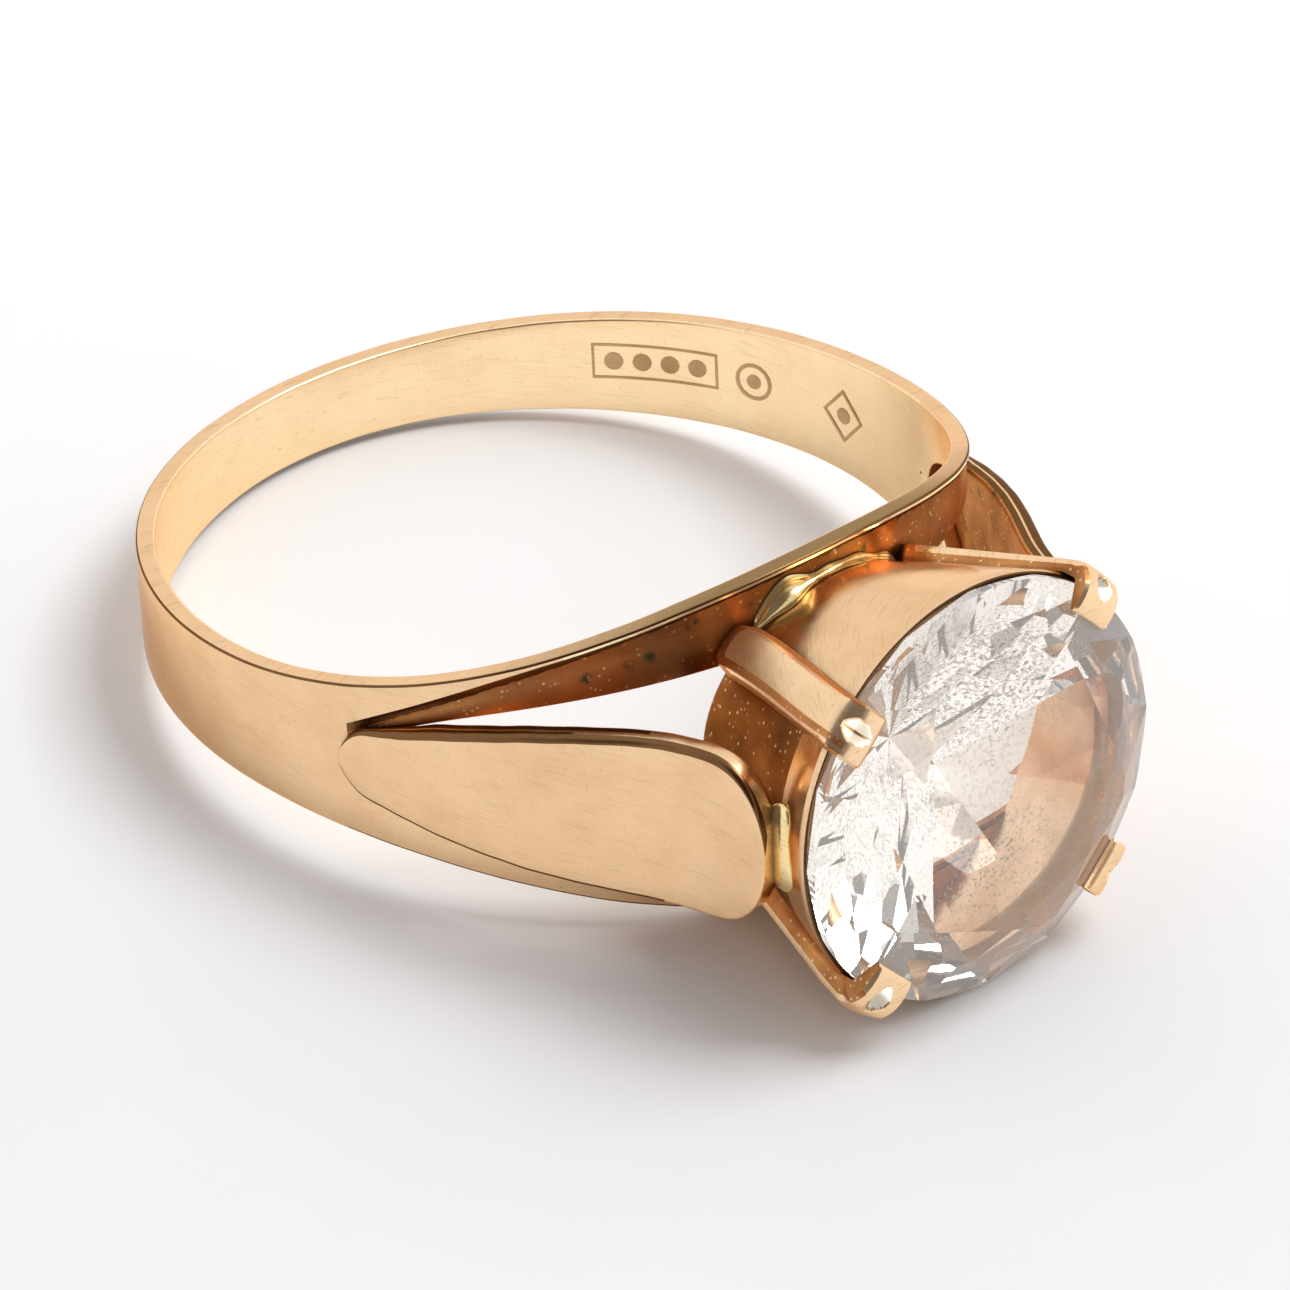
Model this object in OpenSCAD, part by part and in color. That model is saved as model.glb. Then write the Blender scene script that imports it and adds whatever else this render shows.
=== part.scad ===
// Single-stone finger ring lying on its side: pierced band, two bridge strips, two leaf plates,
// conical collet, four bent claws and a round brilliant-cut stone.
// Ring frame: origin at the finger-hole centre, +X towards the stone, +Y across the shoulders,
// +Z along the finger axis. The whole ring is then tipped about Y until the back of the band
// and the collet rim both touch one level floor.

/* [Band] */
// Finger-hole radius
hole_r = 8.5; // [7.5:0.1:10.5]
// Wall thickness of the band and the bridge strips
band_t = 0.42; // [0.3:0.02:0.9]
// Half width of the band at the back
back_half = 0.97; // [0.7:0.01:1.6]
// Shoulder widening, first-power share
widen_one = 1.59; // [1:0.01:2]
// Shoulder widening, second-power share
widen_two = -2.14; // [-3:0.01:-1]
// Shoulder widening, fourth-power share
widen_four = 3.33; // [2:0.01:4]

/* [Split shoulders] */
// Distance from the hole centre to the crotch of the split
split_from = 3.4; // [3:0.1:4.5]
// Half height of the gap between the bridge strips behind the collet
split_half = 2.1; // [1.4:0.05:2.6]
// Power that shapes the gap edge
split_power = 0.45; // [0.3:0.05:1]
// Distance from the hole centre where the bridge strips start
bridge_from = 3.8; // [3.5:0.1:6]

/* [Leaf plates] */
// Plate thickness
leaf_t = 0.52; // [0.3:0.02:0.9]
// Narrow end of the outer face, along X
leaf_x = 2.95; // [2:0.05:4]
// Narrow end of the outer face, away from the middle
leaf_y = 8.53; // [8:0.01:9.5]
// Length along the outer face
leaf_length = 9.95; // [8:0.05:11]
// Heading of the plate at its narrow end, in degrees
leaf_heading_start = 15; // [5:1:25]
// Steepest heading, in degrees
leaf_heading_mid = 32; // [20:1:45]
// Heading where the plate meets the collet, in degrees
leaf_heading_end = 10; // [0:1:25]
// Length to the steepest point
leaf_mid = 6.3; // [4:0.1:8]
// Length to the straight end
leaf_straight = 9.1; // [7:0.1:10]
// Half height of the narrow end
leaf_half_start = 0.66; // [0.3:0.02:1]
// Greatest half height
leaf_half_max = 1.95; // [1:0.05:2.6]
// Distance along X of the greatest height
leaf_widest_x = 10.6; // [8:0.1:11.5]

/* [Collet] */
// Outer radius of the cone at its lower reference level
collet_r_low = 3.15; // [2.5:0.05:4]
// Lower reference level, along X
collet_x_low = 8.2; // [7.8:0.05:9]
// Outer radius of the rim
collet_r_rim = 4.7; // [4:0.05:5.5]
// Level of the rim, along X
collet_x_rim = 12.95; // [11:0.05:14]
// Wall thickness
collet_t = 0.35; // [0.2:0.01:0.6]
// Length of the inner bearing ledge
bearing_length = 0.85; // [0.4:0.05:1.5]
// Drop of the bearing ledge below the rim
bearing_drop = 0.3; // [0.1:0.05:0.8]
// Reach of the bearing ledge in from the collet wall
bearing_w = 0.42; // [0.2:0.02:0.6]

/* [Stone] */
// Girdle radius
stone_r = 4.65; // [3:0.05:6]
// Table corner radius
table_r = 3.0; // [2:0.05:4]
// Level of the lower girdle edge, along X
girdle_x = 13.12; // [12:0.02:14]
// Girdle thickness
girdle_t = 0.25; // [0.1:0.01:0.4]
// Crown height above the girdle
crown_h = 0.83; // [0.4:0.01:1.6]
// Pavilion depth below the girdle
pavilion_h = 3.75; // [2.5:0.05:4.5]
// Slope of the star facets, in degrees
star_slope = 16; // [8:1:24]
// Slope of the upper girdle facets, in degrees
upper_slope = 31; // [24:1:45]
// Slope of the lower girdle facets, in degrees
lower_slope = 41.5; // [38:0.5:50]

/* [Claws] */
// Claw width
claw_w = 1.2; // [0.6:0.05:1.8]
// Claw thickness on the collet wall
claw_t = 0.52; // [0.3:0.02:0.9]
// Foot level, along X
claw_foot_x = 8.35; // [8:0.05:9.2]
// Radius at which the bent tip ends
claw_tip_r = 4.02; // [3:0.05:4.6]
// Thickness of the bent tip
claw_tip_t = 0.42; // [0.2:0.02:0.8]
// Side of the square file that cuts the middle of each tip
claw_groove = 0.36; // [0.1:0.01:0.5]
// Size of the bevel along both outer edges
claw_bevel = 0.3; // [0.1:0.01:0.5]

/* [Solder] */
// Height of the solder run round the collet foot
solder_h = 0.55; // [0.2:0.05:1]
// Reach of the solder run over the bridge strips
solder_w = 0.35; // [0.2:0.05:0.8]
// Half length of the solder run, across the ring
solder_side = 2.3; // [1:0.1:3]
// Radius of the solder bead at each leaf end
bead_r = 0.3; // [0.15:0.01:0.5]
// Half height of the solder bead at each leaf end
bead_half = 1.05; // [0.4:0.05:1.8]

/* [Hidden] */
$fn = 96;
wall_r = hole_r + band_t;
rim_slope = (collet_r_rim - collet_r_low) / (collet_x_rim - collet_x_low);
tilt = atan((collet_r_rim - back_half) / (collet_x_rim + wall_r));
crown_x = girdle_x + girdle_t;
table_x = crown_x + crown_h;
culet_x = girdle_x - pavilion_h;
// Level below the collet foot where its cone starts before the finger hole is cut through it
cone_low = collet_x_low - 0.6;
// Cutters reach this far, which is past the whole ring
reach = 40;
// Steps along each drawn curve
curve_steps = 40;
// Facet pitch of the eight-fold cut
main_pitch = 45;
half_pitch = main_pitch / 2;
quarter_pitch = main_pitch / 4;
main_slope = atan(crown_h / (stone_r - table_r));
pavilion_slope = atan(pavilion_h / stone_r);
// Lean of the file cut over the bend of each claw, and how far in from the bend's corner it runs
groove_lean = 45;
groove_in = 0.24;
// Working clearance between the stone and the metal that holds it
seat_gap = 0.02;

function smooth(t) = t * t * (3 - 2 * t);
function share(x) = (1 + x / hole_r) / 2;
function band_half(x) = back_half + widen_one * share(x) + widen_two * pow(share(x), 2)
  + widen_four * pow(share(x), 4);
function gap_half(x) = split_half * pow((x - split_from) / (wall_r - split_from), split_power);
function cone_r(x) = collet_r_low + rim_slope * (x - collet_x_low);
function leaf_heading(s) = s < leaf_mid
  ? leaf_heading_start + (leaf_heading_mid - leaf_heading_start) * smooth(s / leaf_mid)
  : s < leaf_straight
  ? leaf_heading_mid - (leaf_heading_mid - leaf_heading_end)
    * smooth((s - leaf_mid) / (leaf_straight - leaf_mid))
  : leaf_heading_end;
leaf_step = leaf_length / curve_steps;
function leaf_point(i) = i == 0 ? [leaf_x, -leaf_y] : leaf_point(i - 1)
  + leaf_step * [cos(leaf_heading((i - 0.5) * leaf_step)), sin(leaf_heading((i - 0.5) * leaf_step))];
function leaf_inner(i) = leaf_point(i)
  + leaf_t * [-sin(leaf_heading(i * leaf_step)), cos(leaf_heading(i * leaf_step))];
leaf_end_x = leaf_point(curve_steps)[0];
leaf_end_y = leaf_point(curve_steps)[1];
function leaf_side(x) = leaf_half_start
  + (leaf_half_max - leaf_half_start) * sin(90 * min(1, (x - leaf_x) / (leaf_widest_x - leaf_x)));
function leaf_nose(x) = x > leaf_x + leaf_half_start ? 1
  : sqrt(max(0, 1 - pow((leaf_x + leaf_half_start - x) / leaf_half_start, 2)));
function leaf_tail(x) = x < leaf_widest_x ? 1
  : sqrt(max(0, 1 - pow((x - leaf_widest_x) / (leaf_end_x - leaf_widest_x), 2.6)));
function leaf_half(x) = leaf_side(x) * leaf_nose(x) * leaf_tail(x);
// Stations bunched towards both ends, so the rounded ends stay round
function bunched(i, from, to) = from + (to - from) * (1 - cos(180 * i / curve_steps)) / 2;
function both_sides(xs, hs) = concat([for (i = [0:len(xs) - 1]) [xs[i], hs[i]]],
  [for (i = [len(xs) - 1:-1:0]) [xs[i], -hs[i]]]);

module posed() {
  rotate([0, -tilt, 0]) children();
}

// Turns a shape drawn on the Z axis so that its axis runs along the ring's X axis
module on_head_axis() {
  rotate([0, 90, 0]) children();
}

// A polygon in the X-Z plane, pushed through the whole ring along Y
module side_cut(points) {
  rotate([90, 0, 0])
    translate([0, 0, -reach / 2])
      linear_extrude(height = reach) polygon(points);
}

module finger_tube() {
  difference() {
    cylinder(r = wall_r, h = reach, center = true);
    cylinder(r = hole_r, h = reach + 1, center = true);
  }
}

module finger_clearance() {
  cylinder(r = wall_r, h = reach, center = true);
}

module pierced_hoop() {
  xs = [for (i = [0:curve_steps]) bunched(i, -wall_r - 0.1, wall_r + 0.1)];
  gs = [for (i = [0:curve_steps]) bunched(i, split_from, wall_r + 1)];
  difference() {
    intersection() {
      finger_tube();
      side_cut(both_sides(xs, [for (x = xs) band_half(x)]));
    }
    side_cut(both_sides(gs, [for (x = gs) x > split_from ? gap_half(x) : 0]));
  }
}

module band() {
  color("gold")
    posed()
      intersection() {
        pierced_hoop();
        translate([bridge_from - reach, -reach / 2, -reach / 2]) cube(reach);
      }
}

module bridge(up) {
  color("gold")
    posed()
      intersection() {
        pierced_hoop();
        translate([bridge_from, -reach / 2, up > 0 ? 0 : -reach]) cube(reach);
      }
}

module leaf_plate() {
  xs = [for (i = [0:curve_steps]) bunched(i, leaf_x, leaf_end_x)];
  difference() {
    intersection() {
      linear_extrude(height = 3 * leaf_half_max, center = true)
        polygon(concat([for (i = [0:curve_steps]) leaf_point(i)],
          [for (i = [curve_steps:-1:0]) leaf_inner(i)]));
      side_cut(both_sides(xs, [for (x = xs) leaf_half(x)]));
    }
    finger_clearance();
    collet_cone();
  }
}

module leaf(side) {
  color("gold")
    posed()
      mirror([0, side > 0 ? 1 : 0, 0]) leaf_plate();
}

// The collet's outer cone as a solid
module collet_cone() {
  on_head_axis()
    translate([0, 0, cone_low])
      cylinder(r1 = cone_r(cone_low), r2 = collet_r_rim, h = collet_x_rim - cone_low);
}

// The room the stone's pavilion and girdle need inside the metal
module stone_room() {
  on_head_axis() {
    translate([0, 0, culet_x])
      cylinder(r1 = seat_gap, r2 = stone_r + seat_gap, h = pavilion_h);
    translate([0, 0, girdle_x])
      cylinder(r = stone_r + seat_gap, h = girdle_t);
    translate([0, 0, crown_x])
      cylinder(r1 = stone_r + seat_gap, r2 = table_r, h = crown_h);
  }
}

module collet() {
  color("gold")
    posed()
      difference() {
        collet_cone();
        collet_bore();
        stone_room();
        finger_clearance();
      }
}

module collet_bore() {
  low = collet_x_low - 1;
  high = collet_x_rim + 0.5;
  on_head_axis()
    translate([0, 0, low])
      cylinder(r1 = cone_r(low) - collet_t, r2 = cone_r(high) - collet_t, h = high - low);
}

module bearing() {
  high = collet_x_rim - bearing_drop;
  low = high - bearing_length;
  color("gold")
    posed()
      difference() {
        on_head_axis()
          translate([0, 0, low])
            cylinder(r1 = cone_r(low) - collet_t, r2 = cone_r(high) - collet_t, h = high - low);
        on_head_axis()
          cylinder(r = cone_r(low) - collet_t - bearing_w, h = reach);
        stone_room();
      }
}

// One claw in its radial plane: foot on the bridge strip, bar up the collet, tip over the crown
module claw_profile() {
  bar_top = collet_x_rim;
  bar_out = cone_r(bar_top) + claw_t;
  tip_x = crown_x + crown_h * (stone_r - claw_tip_r) / (stone_r - table_r);
  polygon([
    [cone_r(claw_foot_x) - 0.1, claw_foot_x],
    [cone_r(claw_foot_x) + claw_t * 0.55, claw_foot_x],
    [cone_r(claw_foot_x) + claw_t * 1.1, claw_foot_x + 0.4],
    [bar_out, bar_top],
    [bar_out - 0.02, crown_x],
    [bar_out - 0.14, crown_x + claw_tip_t * 0.85],
    [bar_out - 0.4, tip_x + claw_tip_t * 0.9],
    [bar_out - 0.72, tip_x + claw_tip_t],
    [claw_tip_r, tip_x + claw_tip_t * 0.85],
    [claw_tip_r, tip_x - 0.1],
    [stone_r - 0.2, girdle_x - 0.2],
    [cone_r(bar_top) - 0.2, bar_top - 0.2]
  ]);
}

module claw_bar() {
  lean = atan(rim_slope);
  bend_r = cone_r(collet_x_rim) + claw_t - groove_in;
  bend_x = crown_x + groove_in + claw_tip_t;
  difference() {
    rotate([90, 0, 0])
      linear_extrude(height = claw_w, center = true) claw_profile();
    for (side = [-1, 1])
      translate([cone_r(collet_x_low) + claw_t, side * claw_w / 2, collet_x_low])
        rotate([0, lean, 0])
          rotate([0, 0, 45])
            cube([claw_bevel, claw_bevel, reach], center = true);
    translate([bend_r, 0, bend_x])
      rotate([0, groove_lean, 0])
        rotate([45, 0, 0])
          cube([2 * claw_w, claw_groove, claw_groove], center = true);
  }
}

module claw(turn) {
  color("gold")
    posed()
      difference() {
        on_head_axis()
          rotate([0, 0, turn]) claw_bar();
        collet_cone();
        stone_room();
        finger_clearance();
      }
}

// Two opposite facet pairs as one bar across the stone. Its upper planes pass through radius r at
// level high_x, its lower planes through radius r at level low_x.
module facet_bar(turn, r, high_x, high_slope, low_x, low_slope) {
  over = (high_x - low_x) / (tan(high_slope) + tan(low_slope));
  side_x = high_x - over * tan(high_slope);
  rotate([90, 0, turn])
    linear_extrude(height = reach, center = true)
      polygon([
        [0, high_x + r * tan(high_slope)],
        [-r - over, side_x],
        [0, low_x - r * tan(low_slope)],
        [r + over, side_x]
      ]);
}

module stone() {
  chord_r = stone_r * cos(quarter_pitch);
  star_r = table_r * cos(half_pitch);
  below = culet_x - 1;
  color("white", 0.4)
    posed()
      on_head_axis()
        intersection() {
          translate([0, 0, below]) cylinder(r = stone_r, h = table_x - below);
          intersection_for(turn = [0:main_pitch:179])
            facet_bar(turn, stone_r, crown_x, main_slope, girdle_x, pavilion_slope);
          intersection_for(turn = [quarter_pitch:half_pitch:179])
            facet_bar(turn, chord_r, crown_x, upper_slope, girdle_x, lower_slope);
          intersection_for(turn = [half_pitch:main_pitch:179])
            facet_bar(turn, star_r, table_x, star_slope, below, lower_slope);
        }
}

// Solder drawn up round the collet foot where it meets one bridge strip
module solder_run(up) {
  top = wall_r + solder_h;
  spread = (cone_r(wall_r) + solder_w - cone_r(top)) / solder_h;
  color("gold")
    posed()
      difference() {
        intersection() {
          on_head_axis()
            translate([0, 0, cone_low])
              cylinder(r1 = cone_r(top) + (top - cone_low) * spread, r2 = cone_r(top) + seat_gap,
                h = top - cone_low);
          translate([0, -solder_side, up > 0 ? split_half + seat_gap : -reach - split_half - seat_gap])
            cube([reach, 2 * solder_side, reach]);
        }
        collet_cone();
        finger_clearance();
        on_head_axis()
          for (turn = [0, 90])
            rotate([0, 0, turn + main_pitch])
              cube([reach, claw_w, reach], center = true);
      }
}

// Bead where one leaf plate ends against the collet wall
module solder_bead(side) {
  color("gold")
    posed()
      mirror([0, side > 0 ? 1 : 0, 0])
        difference() {
          translate([leaf_end_x - 0.05, leaf_end_y + 0.3, -bead_half])
            cylinder(r = bead_r, h = 2 * bead_half);
          collet_cone();
          leaf_plate();
        }
}

band();
bridge(1);  // bridge_upper
bridge(-1);  // bridge_lower
leaf(-1);  // leaf_left
leaf(1);  // leaf_right
collet();
bearing();
claw(225);  // claw_upper_left
claw(135);  // claw_upper_right
claw(315);  // claw_lower_left
claw(45);  // claw_lower_right
stone();
solder_run(1);  // solder_upper
solder_run(-1);  // solder_lower
solder_bead(-1);  // solder_left
solder_bead(1);  // solder_right
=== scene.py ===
import math

import bmesh
import bpy
from mathutils import Matrix, Vector, noise


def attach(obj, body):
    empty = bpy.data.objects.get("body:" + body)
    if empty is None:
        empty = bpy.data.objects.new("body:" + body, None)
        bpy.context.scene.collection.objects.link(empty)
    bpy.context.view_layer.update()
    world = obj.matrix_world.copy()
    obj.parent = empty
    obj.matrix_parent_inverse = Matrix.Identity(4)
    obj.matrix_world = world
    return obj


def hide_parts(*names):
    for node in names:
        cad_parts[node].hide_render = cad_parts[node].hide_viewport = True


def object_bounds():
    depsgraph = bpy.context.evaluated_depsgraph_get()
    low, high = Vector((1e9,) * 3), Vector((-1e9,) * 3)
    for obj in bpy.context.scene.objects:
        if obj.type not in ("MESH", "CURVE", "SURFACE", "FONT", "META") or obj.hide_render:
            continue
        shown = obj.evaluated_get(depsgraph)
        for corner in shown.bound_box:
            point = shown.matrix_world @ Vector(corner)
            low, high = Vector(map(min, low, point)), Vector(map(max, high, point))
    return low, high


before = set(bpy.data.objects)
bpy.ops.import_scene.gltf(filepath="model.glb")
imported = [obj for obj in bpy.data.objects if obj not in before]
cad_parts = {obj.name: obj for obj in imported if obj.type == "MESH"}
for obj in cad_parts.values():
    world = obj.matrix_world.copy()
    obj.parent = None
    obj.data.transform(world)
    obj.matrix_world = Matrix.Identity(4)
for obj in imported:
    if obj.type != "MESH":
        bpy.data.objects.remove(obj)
cad_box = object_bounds()

MM = 0.001

# ---------------------------------------------------------------- ring sizes, in mm, as in the CAD
HOLE_R, BAND_T, BACK_HALF = 8.5, 0.42, 0.97
WALL_R = HOLE_R + BAND_T
SPLIT_FROM, SPLIT_HALF, SPLIT_POWER = 3.4, 2.1, 0.45
LEAF_T, LEAF_X, LEAF_Y, LEAF_LENGTH = 0.52, 2.95, 8.53, 9.95
LEAF_MID, LEAF_STRAIGHT = 6.3, 9.1
HEAD_START, HEAD_MID, HEAD_END = 15.0, 32.0, 10.0
LEAF_HALF_START, LEAF_HALF_MAX, LEAF_WIDEST_X = 0.66, 1.95, 10.6
R_LOW, X_LOW, R_RIM, X_RIM, COLLET_T = 3.15, 8.2, 4.7, 12.95, 0.35
STONE_R, TABLE_R, GIRDLE_X, GIRDLE_T, CROWN_H, PAVILION_H = 4.65, 3.0, 13.12, 0.25, 0.83, 3.75
STAR_SLOPE, UPPER_SLOPE, LOWER_SLOPE = 16.0, 31.0, 41.5
CLAW_W, CLAW_T, CLAW_FOOT_X, CLAW_BEND = 1.2, 0.52, 8.35, 0.70
# Angles of the three punch marks round the hole, in degrees, and their level
STAMP_A, STAMP_B, STAMP_C, STAMP_Z = 123.8, 108.0, 91.0, 0.12
# Rounded edge of the wall, where band and strips meet, and how far the raw face is set back
EDGE, SEAM_X, RECESS = 0.055, LEAF_X + 0.03, 0.07
CROWN_X = GIRDLE_X + GIRDLE_T
TABLE_X = CROWN_X + CROWN_H
CULET_X = GIRDLE_X - PAVILION_H
RIM_SLOPE = (R_RIM - R_LOW) / (X_RIM - X_LOW)
TILT = math.atan((R_RIM - BACK_HALF) / (X_RIM + WALL_R))
POSE = Matrix.Rotation(-TILT, 4, "Y") @ Matrix.Scale(MM, 4)


def band_half(x):
    s = (1 + x / HOLE_R) / 2
    return BACK_HALF + 1.59 * s - 2.14 * s ** 2 + 3.33 * s ** 4


def gap_half(x):
    return SPLIT_HALF * max(0.0, (x - SPLIT_FROM) / (WALL_R - SPLIT_FROM)) ** SPLIT_POWER


def cone_r(x):
    return R_LOW + RIM_SLOPE * (x - X_LOW)


def smooth(t):
    t = min(1.0, max(0.0, t))
    return t * t * (3 - 2 * t)


# ---------------------------------------------------------------- mesh helpers
def add_piece(name, bm, mats, replaces=(), sharp=32, smooth_faces=True):
    """Turns a bmesh drawn in ring millimetres into a piece in the row frame."""
    bmesh.ops.recalc_face_normals(bm, faces=bm.faces)
    me = bpy.data.meshes.new(name)
    bm.to_mesh(me)
    bm.free()
    me.transform(POSE)
    if smooth_faces:
        me.polygons.foreach_set("use_smooth", [True] * len(me.polygons))
        me.set_sharp_from_angle(angle=math.radians(sharp))
    for mat in mats:
        me.materials.append(mat)
    ob = bpy.data.objects.new(name, me)
    bpy.context.scene.collection.objects.link(ob)
    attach(ob, "root")
    if replaces:
        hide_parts(*replaces)
    return ob


def loft(loops, closed_path=False, paint=None):
    """Skins a list of equally long closed point loops; paint(row, column) gives the material index."""
    bm = bmesh.new()
    rows = [[bm.verts.new(p) for p in loop] for loop in loops]
    n = len(rows[0])
    pairs = list(zip(rows, rows[1:]))
    if closed_path:
        pairs.append((rows[-1], rows[0]))
    for k, (a, b) in enumerate(pairs):
        for i in range(n):
            j = (i + 1) % n
            f = bm.faces.new((a[i], a[j], b[j], b[i]))
            if paint:
                f.material_index = paint(k, i)
    if not closed_path:
        bm.faces.new(rows[0])
        bm.faces.new(list(reversed(rows[-1])))
    return bm


def corner_arc(cu, cv, r, a0, steps=4):
    return [(cu + r * math.cos(math.radians(a0 + 90 * k / steps)),
             cv + r * math.sin(math.radians(a0 + 90 * k / steps))) for k in range(steps + 1)]


def span(a, b, n):
    """The n - 1 points strictly between a and b."""
    return [(a[0] + (b[0] - a[0]) * k / n, a[1] + (b[1] - a[1]) * k / n) for k in range(1, n)]


def wobble(a, b, size):
    return size * noise.noise(Vector((a, b, 3.7)))


# ---------------------------------------------------------------- band and bridge strips
# Material indices that band, strips and leaves share
PLAIN, PAINTED_DARK, UNPOLISHED, INSIDE, PAINTED_SHINE, TOP = range(6)
# Columns of each section by what they carry
BAND_CORNER, BAND_INNER = range(0, 3), range(8, 21)
STRIP_CORNER, STRIP_RIM, STRIP_INNER = range(0, 3), range(3, 8), range(10, 20)
STRIP_PLAIN, STRIP_PAINTED_DARK, STRIP_PAINTED_SHINE = range(21, 31), range(31, 33), range(33, 35)
LEAF_CORNER, LEAF_TOP, LEAF_INNER, LEAF_FOOT = range(0, 4), (4, 6), range(7, 21), range(26, 28)
# Levels where the painted highlight on the upper strip's edge starts, and where the painted dark lines on
# the leaf's edges end
PAINTED_SHINE_FROM, LEAF_LINE_END, LEAF_TOP_END, LEAF_FOOT_END = 6.9, 8.0, 9.3, 9.6


def strip_section(lo, hi, polished, dark, deep):
    """Section of the wall from lo to hi, as (across, up) points. The outer face has a polished part
    under the top edge, a bevel painted near-black as a painted dark reflection, and a plain part that is set
    back by deep."""
    r = min(EDGE, (hi - lo) / 5)
    step = hi - polished
    foot = step - dark
    t2 = BAND_T - deep
    pts = corner_arc(BAND_T - r, hi - r, r, 0)
    pts += span(pts[-1], (r, hi), 4) + corner_arc(r, hi - r, r, 90)
    pts += span(pts[-1], (0, lo + r), 5) + corner_arc(r, lo + r, r, 180)
    pts += span(pts[-1], (t2 - r, lo), 3) + corner_arc(t2 - r, lo + r, r, 270)
    pts += [(t2, lo + r + (foot - lo - r) * 0.33), (t2, lo + r + (foot - lo - r) * 0.67), (t2, foot)]
    pts += [(BAND_T - deep * 0.25, step - 0.02), (BAND_T, step), (BAND_T, (step + hi - r) / 2)]
    return pts


def strip_at(theta, up, lo, hi, polished, dark, deep):
    c, s = math.cos(theta), math.sin(theta)
    section = strip_section(lo, hi, polished, dark, deep)
    return [((HOLE_R + a) * c, (HOLE_R + a) * s, up * v) for a, v in section]


def make_band():
    """The hoop round the back of the finger, from one seam to the other."""
    start = math.acos(SEAM_X / WALL_R)
    n = 240
    loops = []
    for i in range(n + 1):
        th = start + (2 * math.pi - 2 * start) * i / n
        h = band_half(WALL_R * math.cos(th)) + wobble(th * 9, 1.0, 0.008)
        r = EDGE
        pts = corner_arc(BAND_T - r, h - r, r, 0)
        pts += span(pts[-1], (r, h), 4) + corner_arc(r, h - r, r, 90)
        pts += span(pts[-1], (0, -h + r), 6) + corner_arc(r, -h + r, r, 180)
        pts += span(pts[-1], (BAND_T - r, -h), 4) + corner_arc(BAND_T - r, -h + r, r, 270)
        pts += span(pts[-1], pts[0], 6)
        loops.append([((HOLE_R + a) * math.cos(th), (HOLE_R + a) * math.sin(th), v) for a, v in pts])

    def paint(k, j):
        # the outer top corner is painted near-black, a painted dark reflection
        if j in BAND_CORNER:
            return PAINTED_DARK
        return INSIDE if j in BAND_INNER else PLAIN
    return loft(loops, paint=paint)


def make_bridge(up):
    """One strip from seam to seam behind the collet, above (1) or below (-1) the gap."""
    start = math.acos(SEAM_X / WALL_R)
    n = 190
    loops, levels = [], []
    for i in range(n + 1):
        f = 0.45 * (1 - math.cos(math.pi * i / n)) / 2 + 0.55 * i / n
        th = -start + 2 * start * f
        x = WALL_R * math.cos(th)
        lo, hi = max(0.004, gap_half(x)), band_half(x) + wobble(th * 9, 1.0, 0.008)
        fade = max(0.0, 1 - (x - SPLIT_FROM) / 3.3)
        if up > 0:
            polished = min(0.11 + 0.73 * fade ** 1.5, hi - lo - 0.5)
            dark = 0.20 - 0.08 * smooth((x - 6) / 2) + wobble(th * 60, 5.0, 0.035)
            deep = RECESS * smooth((x - SEAM_X) / 0.5)
        else:
            polished, dark, deep = hi - lo - 0.16, 0.04, 0.01
        loops.append(strip_at(th, up, lo, hi, polished, dark, deep))
        levels.append(x)

    def paint(k, j):
        if j in STRIP_CORNER:
            return PAINTED_DARK
        if j in STRIP_INNER:
            return INSIDE
        if j in STRIP_RIM and up > 0:
            return TOP
        if levels[k] < SEAM_X + 0.08:
            return PLAIN
        # past that level the upper strip's edge takes a pale glowing gold, a painted highlight
        if j in STRIP_PAINTED_SHINE and up > 0 and levels[k] > PAINTED_SHINE_FROM:
            return PAINTED_SHINE
        # the bevel under the polished part is painted near-black, a painted dark reflection
        if j in STRIP_PAINTED_DARK:
            return PAINTED_DARK
        return UNPOLISHED if j in STRIP_PLAIN else PLAIN
    return loft(loops, paint=paint)


# ---------------------------------------------------------------- leaf plates
def leaf_heading(s):
    if s < LEAF_MID:
        return HEAD_START + (HEAD_MID - HEAD_START) * smooth(s / LEAF_MID)
    if s < LEAF_STRAIGHT:
        return HEAD_MID - (HEAD_MID - HEAD_END) * smooth((s - LEAF_MID) / (LEAF_STRAIGHT - LEAF_MID))
    return HEAD_END


def leaf_line(n=400):
    """Centre line of a leaf's outer face, as (x, y, heading) points."""
    x, y, out = LEAF_X, -LEAF_Y, []
    step = LEAF_LENGTH / n
    for i in range(n + 1):
        h = math.radians(leaf_heading(i * step))
        out.append((x, y, h))
        hm = math.radians(leaf_heading((i + 0.5) * step))
        x, y = x + step * math.cos(hm), y + step * math.sin(hm)
    return out


LEAF = leaf_line()
LEAF_END_X, LEAF_END_Y = LEAF[-1][0], LEAF[-1][1]


def leaf_half(x):
    side = LEAF_HALF_START + (LEAF_HALF_MAX - LEAF_HALF_START) * math.sin(
        math.pi / 2 * min(1.0, (x - LEAF_X) / (LEAF_WIDEST_X - LEAF_X)))
    nose = 1.0
    if x < LEAF_X + LEAF_HALF_START:
        nose = math.sqrt(max(0.0, 1 - ((LEAF_X + LEAF_HALF_START - x) / LEAF_HALF_START) ** 2))
    tail = 1.0
    if x > LEAF_WIDEST_X:
        tail = math.sqrt(max(0.0, 1 - ((x - LEAF_WIDEST_X) / (LEAF_END_X - LEAF_WIDEST_X)) ** 2.6))
    return side * nose * tail


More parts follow.
